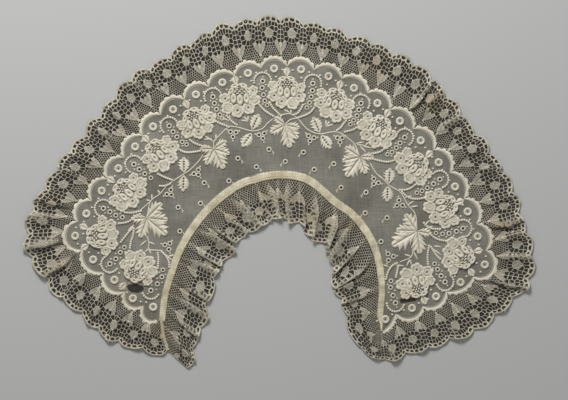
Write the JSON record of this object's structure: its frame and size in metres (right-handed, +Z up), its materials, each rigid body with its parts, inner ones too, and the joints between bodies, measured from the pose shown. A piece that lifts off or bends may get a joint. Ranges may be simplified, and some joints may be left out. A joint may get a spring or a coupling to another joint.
{
  "type": "lace-edged collar",
  "caption": "Flat-laid horseshoe collar of embroidered sheer muslin with a scalloped edge, a bound neck edge and gathered lace all round.",
  "frame": {"origin": "middle of the collar's outline, on the surface that it lies on", "axes": "+X to the right along the collar's width, +Y away from the neck opening, +Z up from the surface"},
  "size_m": [0.4583, 0.3154, 0.0078],
  "materials": {
    "muslin": "matt",
    "band": "matt",
    "lace": "matt",
    "embroidery": "soft sheen"
  },
  "bodies": {
    "root": {"muslin_panel": "muslin", "neck_band": "band", "outer_lace_frill": "lace", "neck_lace_frill": "lace"}
  },
  "joints": []
}
